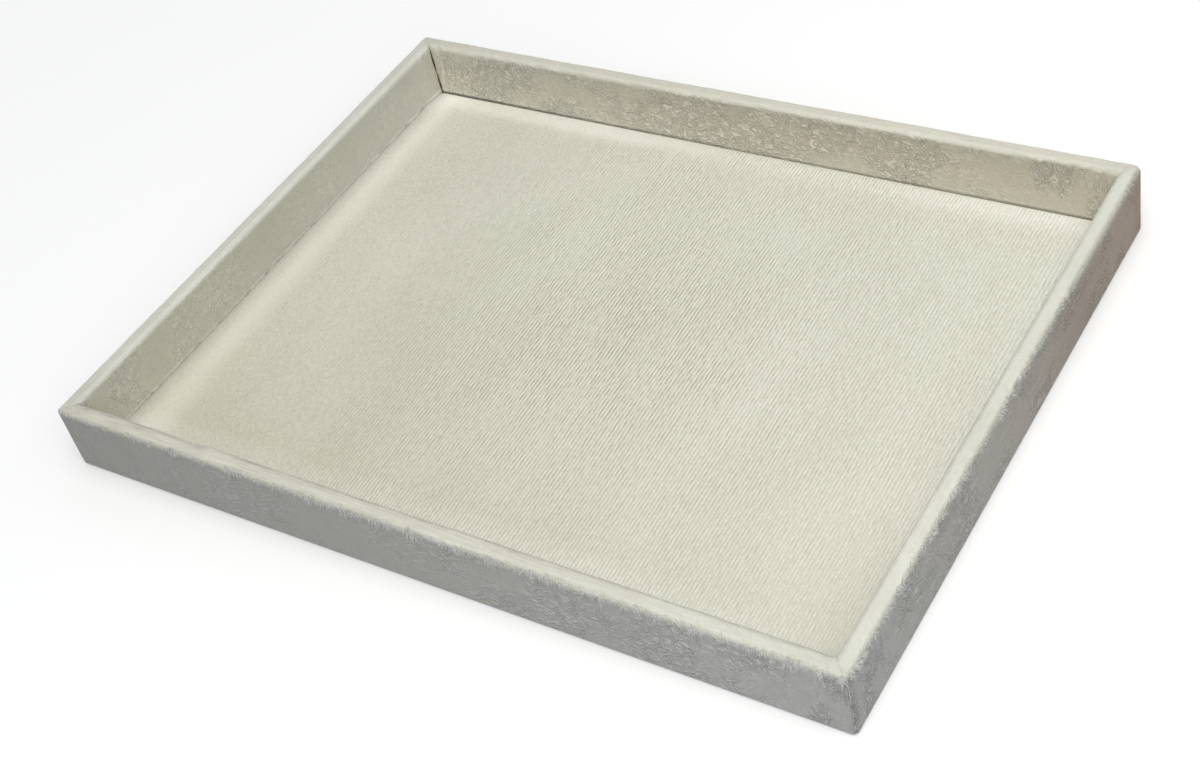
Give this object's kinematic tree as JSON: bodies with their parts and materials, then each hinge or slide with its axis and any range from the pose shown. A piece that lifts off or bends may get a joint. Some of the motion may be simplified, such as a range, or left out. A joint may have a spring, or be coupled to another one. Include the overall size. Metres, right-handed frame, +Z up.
{
  "type": "jewelry tray",
  "caption": "Low rectangular velvet-wrapped display tray with upright walls, a soft rounded rim and a ribbed padded liner that lifts out, for laying out jewelry.",
  "frame": {"origin": "middle of the underside, on the surface that the tray stands on", "axes": "+X along the tray's length to the right, +Y along its depth to the back, +Z up"},
  "size_m": [0.34, 0.26, 0.03],
  "materials": {
    "board": "bare hardboard, smooth face",
    "rail": "bare fibreboard, sanded edges",
    "plush": "off-white plush velvet with a lightly crushed pile",
    "ribbed_velvet": "off-white fine ribbed velvet",
    "lining": "thin beige felt",
    "card": "grey board",
    "foam": "thin fine-celled sponge",
    "brad_wire": "bright steel wire"
  },
  "bodies": {
    "tray": {"base_board": "board", "front_rail": "rail", "back_rail": "rail", "left_rail": "rail", "right_rail": "rail", "front_wrap": "plush", "back_wrap": "plush", "left_wrap": "plush", "right_wrap": "plush", "bottom_sheet": "lining", "corner_brads": "brad_wire", "base_brads": "brad_wire"},
    "liner_pad": {"pad_card": "card", "pad_foam": "foam", "pad_cover": "ribbed_velvet"}
  },
  "joints": [
    {"name": "pad_lift", "type": "slide", "parent": "tray", "child": "liner_pad", "axis": [0, 0, 1], "range_m": [0, 0.04]}
  ]
}
